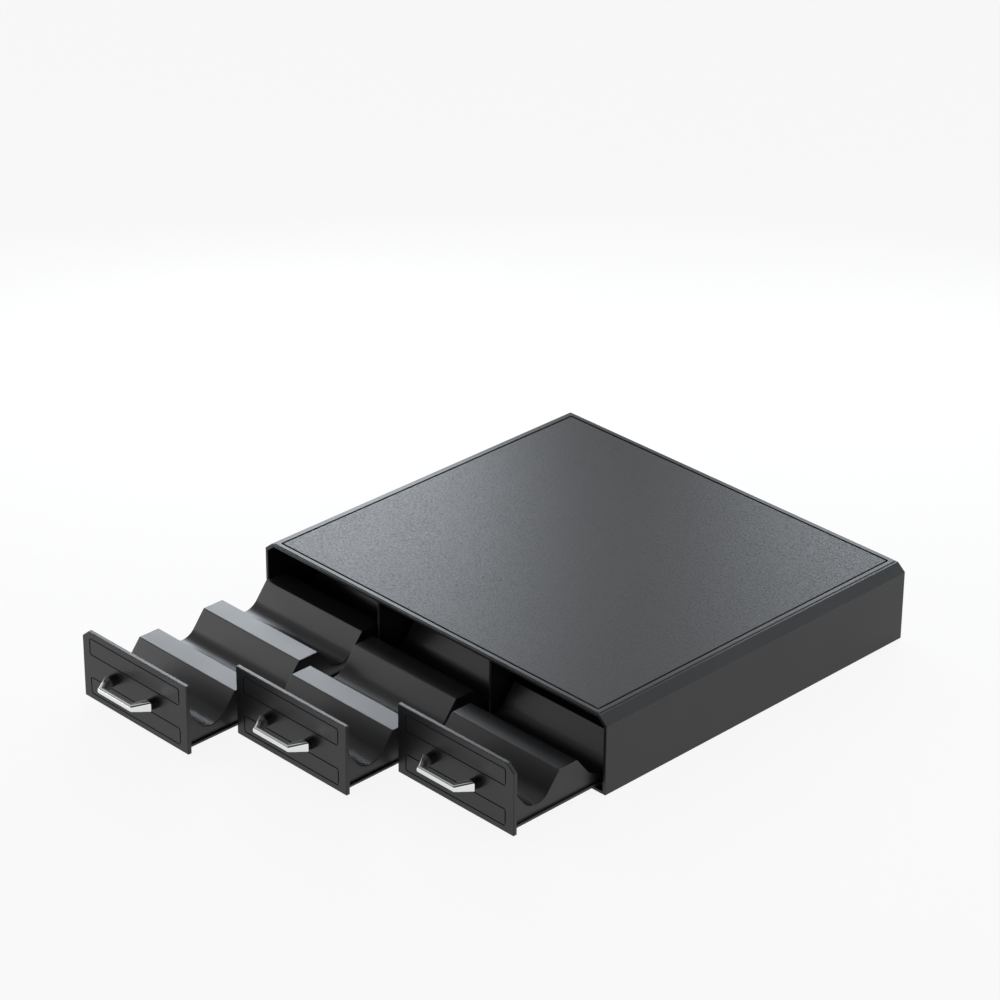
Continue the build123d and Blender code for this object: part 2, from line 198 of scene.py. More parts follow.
worn = add_node(
    tree, "ShaderNodeMapRange",
    {"Value": pebbles.outputs["Distance"], "From Max": VALLEY_DISTANCE, "To Min": PEBBLE_ROUGHNESS,
     "To Max": VALLEY_ROUGHNESS},
)
# The valleys between the pebbles are painted darker than their tops: painted shade in the grain's hollows.
valley_shade_painted = add_node(
    tree, "ShaderNodeMix",
    {"Factor": pebbles.outputs["Distance"], "A": hex_colour("#171718"), "B": hex_colour("#0e0e0f")},
    data_type="RGBA",
)
tree.links.new(bump.outputs["Normal"], shader.inputs["Normal"])
tree.links.new(worn.outputs["Result"], shader.inputs["Roughness"])
tree.links.new(valley_shade_painted.outputs["Result"], shader.inputs["Base Color"])
mat_low, mat_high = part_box("top_mat")
print("grain cells across the top:", round((mat_high - mat_low).x / (GRAIN_MM * MM)))

# %% [markdown]
# ## Chrome, rubber and zinc
# The handles are die-cast and chrome plated: a smooth mirror, so their look is what they reflect.
# Real chrome is darker than the colour given here, which is raised to match handles that look almost white.
# The feet are moulded rubber, which is matt. The screws are zinc-plated steel, a softer, greyer metal.

# %% Make the chrome, the rubber and the zinc
RIPPLE_MM = 4.0
RIPPLE_DEPTH_MM = 0.006
DUST_MM = 0.8
DUST_DEPTH_MM = 0.05
SPANGLE_MM = 0.6
SPANGLE_SMOOTHEST = 0.26
SPANGLE_ROUGHEST = 0.42

chrome, tree, shader = new_material("chrome_plated_zinc", "#f2f3f4", roughness=0.06, metallic=1.0)
place = add_node(tree, "ShaderNodeTexCoord").outputs["Object"]
ripple = add_node(
    tree, "ShaderNodeTexNoise", {"Vector": place, "Scale": scale_of(RIPPLE_MM), "Detail": 1.0})
bump = add_node(tree, "ShaderNodeBump", {"Height": ripple.outputs["Fac"], "Distance": RIPPLE_DEPTH_MM * MM})
tree.links.new(bump.outputs["Normal"], shader.inputs["Normal"])

rubber, tree, shader = new_material("moulded_rubber", "#19191a", roughness=0.78)
place = add_node(tree, "ShaderNodeTexCoord").outputs["Object"]
dust = add_node(tree, "ShaderNodeTexNoise", {"Vector": place, "Scale": scale_of(DUST_MM), "Detail": 4.0})
bump = add_node(tree, "ShaderNodeBump", {"Height": dust.outputs["Fac"], "Distance": DUST_DEPTH_MM * MM})
tree.links.new(bump.outputs["Normal"], shader.inputs["Normal"])

zinc, tree, shader = new_material("zinc_plated_steel", "#b4b5b2", roughness=0.32, metallic=1.0)
place = add_node(tree, "ShaderNodeTexCoord").outputs["Object"]
spangle = add_node(tree, "ShaderNodeTexVoronoi", {"Vector": place, "Scale": scale_of(SPANGLE_MM)})
tone = add_node(
    tree, "ShaderNodeMapRange",
    {"Value": spangle.outputs["Distance"], "To Min": SPANGLE_SMOOTHEST, "To Max": SPANGLE_ROUGHEST},
)
tree.links.new(tone.outputs["Result"], shader.inputs["Roughness"])

# %% Give each construction piece its finish
finishes = {"housing_plastic": housing_abs, "drawer_plastic": drawer_abs, "grained_mat": grained_top,
            "chrome": chrome, "rubber": rubber, "steel": zinc}
for part in frame["record"]["subparts"]:
    piece = frame["nodes"][part["node"]]
    piece.data.materials.clear()
    piece.data.materials.append(finishes[part["material_slot"]])
print("finished", len(frame["nodes"]), "construction pieces")

# %% [markdown]
# ## The bow handles
# Each handle is one casting: a straight grip between two legs that grow wider and taller towards their feet.
# It could be a curve with a bevel, but the legs' width changes, so it is drawn as cross sections.
# Each corner of a section is cut into flats, which mirror the white floor and the dark studio side by side.
# A narrow bevel then softens their edges. Each foot ends on a round black boss of the front.

# %% Size the handle
LEG_WIDTH_MM = 7.4
FOOT_GAP_MM = 2.6  # from the construction boss's face to the chrome, filled by the boss's collar
GRIP_HALF_MM = 18.0
GRIP_DEPTH_MM = 4.4
GRIP_HEIGHT_MM = 5.0
CORNER_CUT_MM = 1.9
FLATS = 3
EDGE_MM = 0.15
print("each handle has", 4 * (FLATS + 1), "facets round its section")


# %% Helpers for new pieces
BEVEL_FROM = radians(20)  # edges that turn by less than this are left out of a bevel


def new_piece(name, data, material, slot, body, *replaced):
    """Puts a mesh in the scene as a piece with its finish and body, in place of some nodes. slot is not
    used.
    """
    piece = bpy.data.objects.new(name, data)
    bpy.context.scene.collection.objects.link(piece)
    data.materials.clear()
    data.materials.append(material)
    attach(piece, body)
    if replaced:
        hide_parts(*replaced)
    return piece


def bevelled(piece, width_mm, segments):
    """Adds a bevel of this width to the piece's sharper edges."""
    bevel = piece.modifiers.new("bevel", "BEVEL")
    bevel.width = width_mm * MM
    bevel.segments = segments
    bevel.limit_method = "ANGLE"
    bevel.angle_limit = BEVEL_FROM


# %% Cut a section's corners
def cut_corners(mesh, outer, inner, middle_z, half_height, lean):
    """A ring of vertices: a section from outer to inner, its corners cut into flats."""
    half = (outer - inner) / 2
    cut = CORNER_CUT_MM * MM
    ring = []
    for quarter in range(4):
        side = 1 if quarter in (0, 3) else -1
        up = 1 if quarter < 2 else -1
        for step in range(FLATS + 1):
            angle = (quarter + step / FLATS) * pi / 2
            reach = side * (half.length - cut * lean) + cut * lean * cos(angle)
            place = (outer + inner) / 2 + half.normalized() * reach
            z = middle_z + up * (half_height - cut) + cut * sin(angle)
            ring.append(mesh.verts.new((*place, z)))
    return ring


# %% Cast the handles
SQUARE_CUT = 1.0
MITRE_CUT = 2 ** 0.5  # the grip's end section lies at 45 degrees, so it is longer by this factor


def make_handle(drawer):
    """A faceted bow, section by section along its path, in the box of the drawer's construction handle."""
    low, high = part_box(f"{drawer}_handle")
    middle = (low + high) / 2
    foot_outer = high.x - middle.x
    foot_y = high.y - FOOT_GAP_MM * MM
    grip_half = GRIP_HALF_MM * MM
    grip_depth = GRIP_DEPTH_MM * MM
    # For each station of a half bow: outer point, inner point, half height, and how slantwise it is cut
    half = [
        ((foot_outer, foot_y), (foot_outer - LEG_WIDTH_MM * MM, foot_y), high.z - middle.z,
         SQUARE_CUT),
        ((grip_half, low.y), (grip_half - grip_depth, low.y + grip_depth), GRIP_HEIGHT_MM * MM / 2,
         MITRE_CUT),
    ]
    mirrored_half = [
        ((-outer[0], outer[1]), (-inner[0], inner[1]), height, lean) for outer, inner, height, lean in half]
    stations = mirrored_half + list(reversed(half))
    mesh = bmesh.new()
    centre = Vector((middle.x, 0.0))
    rings = [
        cut_corners(mesh, centre + Vector(outer), centre + Vector(inner), middle.z, height, lean)
        for outer, inner, height, lean in stations]
    for ring, following in zip(rings, rings[1:]):
        for i in range(len(ring)):
            j = (i + 1) % len(ring)
            mesh.faces.new((ring[i], ring[j], following[j], following[i]))
    mesh.faces.new(rings[0])
    mesh.faces.new(reversed(rings[-1]))
    bmesh.ops.recalc_face_normals(mesh, faces=mesh.faces)
    data = bpy.data.meshes.new(f"{drawer}_bow_handle")
    mesh.to_mesh(data)
    mesh.free()
    data.shade_smooth()
    handle = new_piece(data.name, data, chrome, "chrome", f"{drawer}_drawer", f"{drawer}_handle")
    bevelled(handle, EDGE_MM, segments=3)
    handle.modifiers.new("flat facets", "WEIGHTED_NORMAL")
    return handle


for drawer in DRAWERS:
    print("cast", make_handle(drawer).name)

# %% [markdown]
# ## The bosses' collars
# On the real front the round bosses stand out further than in the construction model.
# A short collar, a cylinder with a rounded edge, makes up the difference between each boss and the chrome.

# %% Turn the bosses' collars
COLLAR_RADIUS_MM = 4.1
COLLAR_SIDES = 48
COLLAR_EDGE_MM = 0.5


def make_collars(drawer):
    """Two short round collars on the front's bosses, one under each foot of the handle."""
    low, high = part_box(f"{drawer}_handle")
    mesh = bmesh.new()
    for foot_x in (low.x + COLLAR_RADIUS_MM * MM, high.x - COLLAR_RADIUS_MM * MM):
        place = Vector((foot_x, high.y - FOOT_GAP_MM * MM / 2, (low.z + high.z) / 2))
        bmesh.ops.create_cone(
            mesh, cap_ends=True, segments=COLLAR_SIDES, radius1=COLLAR_RADIUS_MM * MM,
            radius2=COLLAR_RADIUS_MM * MM, depth=FOOT_GAP_MM * MM,
            matrix=Matrix.Translation(place) @ Matrix.Rotation(pi / 2, 4, "X"))
    data = bpy.data.meshes.new(f"{drawer}_boss_collars")
    mesh.to_mesh(data)
    mesh.free()
    data.shade_smooth()
    collars = new_piece(data.name, data, drawer_abs, "drawer_plastic", f"{drawer}_drawer")
    bevelled(collars, COLLAR_EDGE_MM, segments=3)
    collars.modifiers.new("flat face", "WEIGHTED_NORMAL")
    return collars


for drawer in DRAWERS:
    print("turned", make_collars(drawer).name)

# %% [markdown]
# ## Growing repeated pieces
# Screws and feet repeat, so Geometry Nodes make them: points say where, and the tree says what stands there.
# The tree's sizes are named inputs, so the same tree makes the base's screws and the longer handle screws.
# The result is kept as a plain mesh, which later steps can treat as any other piece.

# %% Helpers for Geometry Nodes
def new_tree(name, sizes):
    """A tree with a geometry input and output, and one float input for each named size."""
    tree = bpy.data.node_groups.new(name, "GeometryNodeTree")
    tree.interface.new_socket("Geometry", in_out="INPUT", socket_type="NodeSocketGeometry")
    for size in sizes:
        tree.interface.new_socket(size, in_out="INPUT", socket_type="NodeSocketFloat")
    tree.interface.new_socket("Geometry", in_out="OUTPUT", socket_type="NodeSocketGeometry")
    return tree, tree.nodes.new("NodeGroupInput").outputs


def end_tree(tree, geometry, material):
    """Ends a tree: its instances are made real, and get their material."""
    real = add_node(tree, "GeometryNodeRealizeInstances", {"Geometry": geometry})
    finished = add_node(
        tree, "GeometryNodeSetMaterial", {"Geometry": real.outputs["Geometry"], "Material": material})
    add_node(tree, "NodeGroupOutput", {"Geometry": finished.outputs["Geometry"]})


def grow(name, tree, points, sizes, edges=()):
    """Runs a tree on points, or on an outline of edges, and returns the result as a plain mesh."""
    seeds = bpy.data.meshes.new(name + "_seeds")
    seeds.from_pydata([tuple(point) for point in points], list(edges), [])
    grower = bpy.data.objects.new(name + "_seeds", seeds)
    bpy.context.scene.collection.objects.link(grower)
    modifier = grower.modifiers.new("tree", "NODES")
    modifier.node_group = tree
    for socket in tree.interface.items_tree:
        if socket.in_out == "INPUT" and socket.name in sizes:
            modifier[socket.identifier] = sizes[socket.name]
    evaluated = grower.evaluated_get(bpy.context.evaluated_depsgraph_get())
    data = bpy.data.meshes.new_from_object(evaluated)
    data.name = name
    bpy.data.objects.remove(grower, do_unlink=True)
    return data


# %% [markdown]
# ## Countersunk screws
# Two screws hold the base to the dividers, and two hold each handle: zinc-plated, with a cross recess.
# The head is a cone, the thread a stack of thin double cones, and a Boolean cuts the cross into the head.

# %% Plan the screw
THREAD_MM = 1.0
CROSS_LENGTH_MM = 3.2
CROSS_WIDTH_MM = 0.9
CROSS_DEPTH_MM = 1.1
THREAD_DEPTH_MM = 0.35
ROUND_SIDES = 48

screw_tree, given = new_tree("countersunk_screw", ["Head radius", "Shank radius", "Length", "Tilt"])
head_height = add_node(
    screw_tree, "ShaderNodeMath", {0: given["Head radius"], 1: given["Shank radius"]}, operation="SUBTRACT")
head = add_node(
    screw_tree, "GeometryNodeMeshCone",
    {"Vertices": ROUND_SIDES, "Radius Top": given["Shank radius"], "Radius Bottom": given["Head radius"],
     "Depth": head_height.outputs[0]})
bars = [
    add_node(screw_tree, "GeometryNodeMeshCube", {"Size": size})
    for size in ((CROSS_LENGTH_MM * MM, CROSS_WIDTH_MM * MM, 2 * CROSS_DEPTH_MM * MM),
                 (CROSS_WIDTH_MM * MM, CROSS_LENGTH_MM * MM, 2 * CROSS_DEPTH_MM * MM))]
cut = head.outputs["Mesh"]
for bar in bars:
    recess = add_node(screw_tree, "GeometryNodeMeshBoolean", {0: cut, 1: bar.outputs["Mesh"]})
    recess.operation = "DIFFERENCE"
    cut = recess.outputs["Mesh"]
print("screw tree so far:", len(screw_tree.nodes), "nodes")

# %% Give the screw its thread
core = add_node(
    screw_tree, "ShaderNodeMath", {0: given["Shank radius"], 1: THREAD_DEPTH_MM * MM}, operation="SUBTRACT")
half_turn = {"Vertices": ROUND_SIDES, "Depth": THREAD_MM * MM / 2}
rising = add_node(
    screw_tree, "GeometryNodeMeshCone",
    {**half_turn, "Radius Top": given["Shank radius"], "Radius Bottom": core.outputs[0]})
falling = add_node(
    screw_tree, "GeometryNodeMeshCone",
    {**half_turn, "Radius Top": core.outputs[0], "Radius Bottom": given["Shank radius"]})
raised = add_node(
    screw_tree, "GeometryNodeTransform",
    {"Geometry": falling.outputs["Mesh"], "Translation": (0.0, 0.0, THREAD_MM * MM / 2)})
turn = add_node(screw_tree, "GeometryNodeJoinGeometry")
for half_cone in (rising.outputs["Mesh"], raised.outputs["Geometry"]):
    screw_tree.links.new(half_cone, turn.inputs["Geometry"])
threaded = add_node(
    screw_tree, "ShaderNodeMath", {0: given["Length"], 1: head_height.outputs[0]}, operation="SUBTRACT")
turns = add_node(
    screw_tree, "ShaderNodeMath", {0: threaded.outputs[0], 1: THREAD_MM * MM}, operation="DIVIDE")
first_turn = add_node(screw_tree, "ShaderNodeCombineXYZ", {"Z": head_height.outputs[0]})
stack = add_node(
    screw_tree, "GeometryNodeMeshLine",
    {"Count": turns.outputs[0], "Start Location": first_turn.outputs[0],
     "Offset": (0.0, 0.0, THREAD_MM * MM)})
thread = add_node(
    screw_tree, "GeometryNodeInstanceOnPoints",
    {"Points": stack.outputs["Mesh"], "Instance": turn.outputs["Geometry"]})
screw = add_node(screw_tree, "GeometryNodeJoinGeometry")
for piece_of_screw in (cut, thread.outputs["Instances"]):
    screw_tree.links.new(piece_of_screw, screw.inputs["Geometry"])
tilt = add_node(screw_tree, "ShaderNodeCombineXYZ", {"X": given["Tilt"]})
screws = add_node(
    screw_tree, "GeometryNodeInstanceOnPoints",
    {"Points": given["Geometry"], "Instance": screw.outputs["Geometry"], "Rotation": tilt.outputs[0]})
end_tree(screw_tree, screws.outputs["Instances"], zinc)

# %% Size the screws
SHANK_RADIUS_MM = 1.45
HANDLE_SHANK_RADIUS_MM = 1.5
print("screw shanks:", 2 * SHANK_RADIUS_MM, "and", 2 * HANDLE_SHANK_RADIUS_MM, "mm across")

# %% Drive the screws
low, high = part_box("base_screws")
head_radius = (high.y - low.y) / 2
points = [(x, low.y + head_radius, low.z) for x in (low.x + head_radius, high.x - head_radius)]
sizes = {"Head radius": head_radius, "Shank radius": SHANK_RADIUS_MM * MM, "Length": high.z - low.z,
         "Tilt": 0.0}
base_screws = grow("cross_head_base_screws", screw_tree, points, sizes)
new_piece(base_screws.name, base_screws, zinc, "steel", "housing", "base_screws")
print("base screws:", len(base_screws.polygons), "faces")
for drawer in DRAWERS:
    low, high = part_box(f"{drawer}_handle_screws")
    head_radius = (high.z - low.z) / 2
    points = [(x, high.y, low.z + head_radius) for x in (low.x + head_radius, high.x - head_radius)]
    sizes = {"Head radius": head_radius, "Shank radius": HANDLE_SHANK_RADIUS_MM * MM,
             "Length": high.y - low.y, "Tilt": pi / 2}
    data = grow(f"{drawer}_cross_head_screws", screw_tree, points, sizes)
    new_piece(data.name, data, zinc, "steel", f"{drawer}_drawer", f"{drawer}_handle_screws")
    print(drawer, "handle screws:", len(data.polygons), "faces")

# %% [markdown]
# ## Rubber feet
# Five pads sit nearly half sunk in the base. A real one is moulded, with round corners and a ribbed sole.
# The pad is a rounded outline carried along a short upright line, and a row of points places the ribs.

# %% Plan the foot
FEET = ("foot_front_left", "foot_front_right", "foot_centre", "foot_rear_left", "foot_rear_right")
CORNER_MM = 2.0
RIB_PITCH_MM = 2.4
RIB_WIDTH_MM = 1.3
RIB_HEIGHT_MM = 0.35
RIB_MARGIN_MM = 1.4
CORNER_STEPS = 6

foot_tree, given = new_tree("ribbed_foot", ["Width", "Length", "Height"])
outline = add_node(
    foot_tree, "GeometryNodeCurvePrimitiveQuadrilateral",
    {"Width": given["Width"], "Height": given["Length"]})
rounded = add_node(
    foot_tree, "GeometryNodeFilletCurve",
    {"Curve": outline.outputs["Curve"], "Count": CORNER_STEPS, "Radius": CORNER_MM * MM}, mode="POLY")
top = add_node(foot_tree, "ShaderNodeCombineXYZ", {"Z": given["Height"]})
upright = add_node(
    foot_tree, "GeometryNodeCurvePrimitiveLine",
    {"Start": (0.0, 0.0, RIB_HEIGHT_MM * MM), "End": top.outputs[0]})
pad = add_node(
    foot_tree, "GeometryNodeCurveToMesh",
    {"Curve": upright.outputs["Curve"], "Profile Curve": rounded.outputs["Curve"], "Fill Caps": True})
print("foot tree so far:", len(foot_tree.nodes), "nodes")

# %% Give the foot its ribs
rib_length = add_node(
    foot_tree, "ShaderNodeMath", {0: given["Length"], 1: 2 * RIB_MARGIN_MM * MM}, operation="SUBTRACT")
rib_size = add_node(
    foot_tree, "ShaderNodeCombineXYZ",
    {"X": RIB_WIDTH_MM * MM, "Y": rib_length.outputs[0], "Z": 2 * RIB_HEIGHT_MM * MM})
rib = add_node(foot_tree, "GeometryNodeMeshCube", {"Size": rib_size.outputs[0]})
rib_count = add_node(
    foot_tree, "ShaderNodeMath", {0: given["Width"], 1: RIB_PITCH_MM * MM}, operation="DIVIDE")
whole_ribs = add_node(foot_tree, "ShaderNodeMath", {0: rib_count.outputs[0]}, operation="FLOOR")
row_half = add_node(
    foot_tree, "ShaderNodeMath",
    {0: whole_ribs.outputs[0], 1: RIB_PITCH_MM * MM / 2, 2: -RIB_PITCH_MM * MM / 2},
    operation="MULTIPLY_ADD")
row_start = add_node(
    foot_tree, "ShaderNodeMath", {0: row_half.outputs[0], 1: -1.0}, operation="MULTIPLY")
start = add_node(foot_tree, "ShaderNodeCombineXYZ", {"X": row_start.outputs[0], "Z": RIB_HEIGHT_MM * MM})
row = add_node(
    foot_tree, "GeometryNodeMeshLine",
    {"Count": whole_ribs.outputs[0], "Start Location": start.outputs[0],
     "Offset": (RIB_PITCH_MM * MM, 0.0, 0.0)})
ribs = add_node(
    foot_tree, "GeometryNodeInstanceOnPoints",
    {"Points": row.outputs["Mesh"], "Instance": rib.outputs["Mesh"]})
foot = add_node(foot_tree, "GeometryNodeJoinGeometry")
for piece_of_foot in (pad.outputs["Mesh"], ribs.outputs["Instances"]):
    foot_tree.links.new(piece_of_foot, foot.inputs["Geometry"])
feet = add_node(
    foot_tree, "GeometryNodeInstanceOnPoints",
    {"Points": given["Geometry"], "Instance": foot.outputs["Geometry"]})
end_tree(foot_tree, feet.outputs["Instances"], rubber)

# %% Set the feet
SOLE_EDGE_MM = 0.15

boxes = [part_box(name) for name in FEET]
foot_size = boxes[0][1] - boxes[0][0]
points = [((low.x + high.x) / 2, (low.y + high.y) / 2, low.z) for low, high in boxes]
data = grow(
    "ribbed_rubber_feet", foot_tree, points,
    {"Width": foot_size.x, "Length": foot_size.y, "Height": foot_size.z})
feet_piece = new_piece(data.name, data, rubber, "rubber", "housing", *FEET)
bevelled(feet_piece, SOLE_EDGE_MM, segments=2)
print("feet:", len(data.polygons), "faces")

# %% [markdown]
# ## The corrugated trays
# Each tray is one thin moulding: five troughs between flat lands, with walls dropped from its four edges.
# Modelling it by hand would mean the same curve five times, so the tray is written as a rule instead.
# Python draws one row's outline. The tree repeats it, adds both ends, and draws it sideways into a deck.
# It then drops the deck's open edges to the tray's foot. Solidify gives the sheet its wall afterwards.
# The runners along its two long feet are plain bars: on each side a flange, and a stop ear above it.

# %% Draw one row
LAND_MM = 1.6
PITCH_MM = 59.9
MOUTH_MM = 42.4
TROUGH_RADIUS_MM = 14.4
FLANK_ANGLE = radians(52)
ROWS = 5
ARC_STEPS = 16


def row_outline():
    """Points (y, z) of one trough and its land, in millimetres from the top of the trough's front edge."""
    depth = MOUTH_MM / 2 * tan(FLANK_ANGLE) - TROUGH_RADIUS_MM * (1 / cos(FLANK_ANGLE) - 1)
    points = [(0.0, 0.0)]
    for step in range(ARC_STEPS + 1):
        angle = FLANK_ANGLE * (2 * step / ARC_STEPS - 1)
        y = MOUTH_MM / 2 + TROUGH_RADIUS_MM * sin(angle)
        points.append((y, TROUGH_RADIUS_MM * (1 - cos(angle)) - depth))
    return points + [(MOUTH_MM, 0.0), (PITCH_MM, 0.0)]


print("one row has", len(row_outline()), "points")

# %% Repeat the row and find its ends
NEAR_MM = 2.5  # an outline's end lies within this distance of the tray's end
MERGE_MM = 0.01

tray_tree, given = new_tree("corrugated_tray", ["Rows", "Width", "Height", "Front", "Back", "Foot"])
row_line = add_node(
    tray_tree, "GeometryNodeMeshLine", {"Count": given["Rows"], "Offset": (0.0, PITCH_MM * MM, 0.0)})
row_copies = add_node(
    tray_tree, "GeometryNodeInstanceOnPoints",
    {"Points": row_line.outputs["Mesh"], "Instance": given["Geometry"]})
rows = add_node(tray_tree, "GeometryNodeRealizeInstances", {"Geometry": row_copies.outputs["Instances"]})
joined = add_node(
    tray_tree, "GeometryNodeMergeByDistance",
    {"Geometry": rows.outputs["Geometry"], "Distance": MERGE_MM * MM})
place = add_node(
    tray_tree, "ShaderNodeSeparateXYZ",
    {"Vector": add_node(tray_tree, "GeometryNodeInputPosition").outputs["Position"]})
front_reach = add_node(tray_tree, "ShaderNodeMath", {0: given["Front"], 1: NEAR_MM * MM}, operation="ADD")
back_reach = add_node(
    tray_tree, "ShaderNodeMath", {0: given["Back"], 1: NEAR_MM * MM}, operation="SUBTRACT")
at_front = add_node(
    tray_tree, "ShaderNodeMath", {0: place.outputs["Y"], 1: front_reach.outputs[0]}, operation="LESS_THAN")
at_back = add_node(
    tray_tree, "ShaderNodeMath", {0: place.outputs["Y"], 1: back_reach.outputs[0]},
    operation="GREATER_THAN")
print("looking for the outline's ends within", NEAR_MM, "mm")

# %% Stretch the last land and drop both ends
back_place = add_node(
    tray_tree, "ShaderNodeCombineXYZ",
    {"X": place.outputs["X"], "Y": given["Back"], "Z": place.outputs["Z"]})
stretched = add_node(
    tray_tree, "GeometryNodeSetPosition",
    {"Geometry": joined.outputs["Geometry"], "Selection": at_back.outputs[0],
     "Position": back_place.outputs[0]})
forwards = add_node(tray_tree, "ShaderNodeCombineXYZ", {"Y": -LAND_MM * MM})
front_land = add_node(
    tray_tree, "GeometryNodeExtrudeMesh",
    {"Mesh": stretched.outputs["Geometry"], "Selection": at_front.outputs[0],
     "Offset": forwards.outputs[0]},
    mode="VERTICES")
down = add_node(tray_tree, "ShaderNodeMath", {0: given["Height"], 1: -1.0}, operation="MULTIPLY")
drop = add_node(tray_tree, "ShaderNodeCombineXYZ", {"Z": down.outputs[0]})
front_wall = add_node(
    tray_tree, "GeometryNodeExtrudeMesh",
    {"Mesh": front_land.outputs["Mesh"], "Selection": front_land.outputs["Top"], "Offset": drop.outputs[0]},
    mode="VERTICES")
back_wall = add_node(
    tray_tree, "GeometryNodeExtrudeMesh",
    {"Mesh": front_wall.outputs["Mesh"], "Selection": at_back.outputs[0], "Offset": drop.outputs[0]},
    mode="VERTICES")
print("tray tree so far:", len(tray_tree.nodes), "nodes")

# %% Draw it sideways and drop its sides
OPEN_EDGE_BELOW = 1.5  # an edge of the sheet has one face if it is open, and two if not
across = add_node(tray_tree, "ShaderNodeCombineXYZ", {"X": given["Width"]})
deck = add_node(
    tray_tree, "GeometryNodeExtrudeMesh", {"Mesh": back_wall.outputs["Mesh"], "Offset": across.outputs[0]},
    mode="EDGES")
open_edge = add_node(
    tray_tree, "ShaderNodeMath",
    {0: add_node(tray_tree, "GeometryNodeInputMeshEdgeNeighbors").outputs["Face Count"],
     1: OPEN_EDGE_BELOW},
    operation="LESS_THAN")
skirt = add_node(
    tray_tree, "GeometryNodeExtrudeMesh",
    {"Mesh": deck.outputs["Mesh"], "Selection": open_edge.outputs[0], "Offset Scale": 0.0}, mode="EDGES")
foot_place = add_node(
    tray_tree, "ShaderNodeCombineXYZ",
    {"X": place.outputs["X"], "Y": place.outputs["Y"], "Z": given["Foot"]})
dropped = add_node(
    tray_tree, "GeometryNodeSetPosition",
    {"Geometry": skirt.outputs["Mesh"], "Selection": skirt.outputs["Top"],
     "Position": foot_place.outputs[0]})
sheet = add_node(
    tray_tree, "GeometryNodeMergeByDistance",
    {"Geometry": dropped.outputs["Geometry"], "Distance": MERGE_MM * MM})
end_tree(tray_tree, sheet.outputs["Geometry"], drawer_abs)
print("tray tree:", len(tray_tree.nodes), "nodes")

# %% Mould the trays
TRAY_WALL_MM = 2.0
LAND_EDGE_MM = 0.5


def face_outwards(data):
    """Merges a mesh's doubles and turns its faces outwards."""
    mesh = bmesh.new()
    mesh.from_mesh(data)
    bmesh.ops.remove_doubles(mesh, verts=mesh.verts, dist=MERGE_MM * MM)
    bmesh.ops.recalc_face_normals(mesh, faces=mesh.faces)
    mesh.to_mesh(data)
    mesh.free()


def mould_tray(drawer):
    """The corrugated sheet of a drawer, with its wall, in the box of the construction tray."""
    low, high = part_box(f"{drawer}_tray")
    outline = [(low.x, low.y + (LAND_MM + y) * MM, high.z + z * MM) for y, z in row_outline()]
    sizes = {"Rows": float(ROWS), "Width": high.x - low.x, "Height": high.z - low.z,
             "Front": low.y, "Back": high.y, "Foot": low.z}
    edges = [(i, i + 1) for i in range(len(outline) - 1)]
    data = grow(f"{drawer}_pod_tray", tray_tree, outline, sizes, edges)
    face_outwards(data)
    data.shade_smooth()
    tray = new_piece(data.name, data, drawer_abs, "drawer_plastic", f"{drawer}_drawer", f"{drawer}_tray")
    bevelled(tray, LAND_EDGE_MM, segments=3)
    wall = tray.modifiers.new("wall", "SOLIDIFY")
    wall.thickness = TRAY_WALL_MM * MM
    wall.offset = -1.0
    wall.use_even_offset = True
    tray.modifiers.new("flat lands", "WEIGHTED_NORMAL")
    return tray


# %% Find a tray's stop ear
def ear_span(node, above):
    """Lowest and highest corner of what stands outside the tray's wall, above its flange."""
    tray_low, tray_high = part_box(node.split("_side")[0])
    outside = [v.co for v in frame["nodes"][node].data.vertices
               if (v.co.x < tray_low.x - MERGE_MM * MM or v.co.x > tray_high.x + MERGE_MM * MM)
               and v.co.z > above + MERGE_MM * MM]
    return (Vector([min(c[i] for c in outside) for i in range(3)]),
            Vector([max(c[i] for c in outside) for i in range(3)]))


# %% Mould the runners
RUNNER_EDGE_MM = 0.25
FLANGE_HEIGHT_MM = 2.0


def mould_runners(drawer):
    """The flange along each foot of a tray, and the stop ear at its rear, as one piece."""
    tray_low, tray_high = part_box(f"{drawer}_tray")
    mesh = bmesh.new()
    nodes = [f"{drawer}_tray_side_{side}" for side in ("left", "right")]
    for node in nodes:
        low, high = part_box(node)
        inner, outer = (tray_low.x, low.x) if low.x < tray_low.x else (tray_high.x, high.x)
        foot = low.z + FLANGE_HEIGHT_MM * MM
        ear_low, ear_high = ear_span(node, foot)
        for near, far in (((inner, low.y, low.z), (outer, high.y, foot)),
                          ((inner, ear_low.y, ear_low.z), (outer, ear_high.y, ear_high.z))):
            middle = (Vector(near) + Vector(far)) / 2
            size = [abs(a - b) for a, b in zip(near, far)]
            place = Matrix.Translation(middle) @ Matrix.Diagonal((*size, 1.0))
            bmesh.ops.create_cube(mesh, size=1.0, matrix=place)
    data = bpy.data.meshes.new(f"{drawer}_tray_runners")
    mesh.to_mesh(data)
    mesh.free()
    runners = new_piece(data.name, data, drawer_abs, "drawer_plastic", f"{drawer}_drawer", *nodes)
    bevelled(runners, RUNNER_EDGE_MM, segments=2)
    return runners


for drawer in DRAWERS:
    print("moulded", mould_tray(drawer).name, "and", mould_runners(drawer).name)

# %% [markdown]
# ## Floor and light
# A white sweep and a few soft lamps are the plainest product light.
# Black plastic shows little colour of its own, so what models it is the sheen of what it mirrors.
# Two small softboxes stand close by, one on the left and one behind. Their sheen lies over the left and
# the rear of the top and fades towards the front right. The fronts and the right-hand wall mainly mirror
# the floor. A large softbox behind on the right lightens the chamfer, and the other lamps are weak.
# The studio is white near the horizon and dark overhead, so that the chrome has something dark to mirror.

# %% Lay the floor
FLOOR_HALF = 6.0
SEEN_WHITE = 0.9  # share of plain white in the floor that the camera sees; the rest shows the shadow
MIRRORED_WHITE = 0.7  # and in the floor that shiny faces mirror

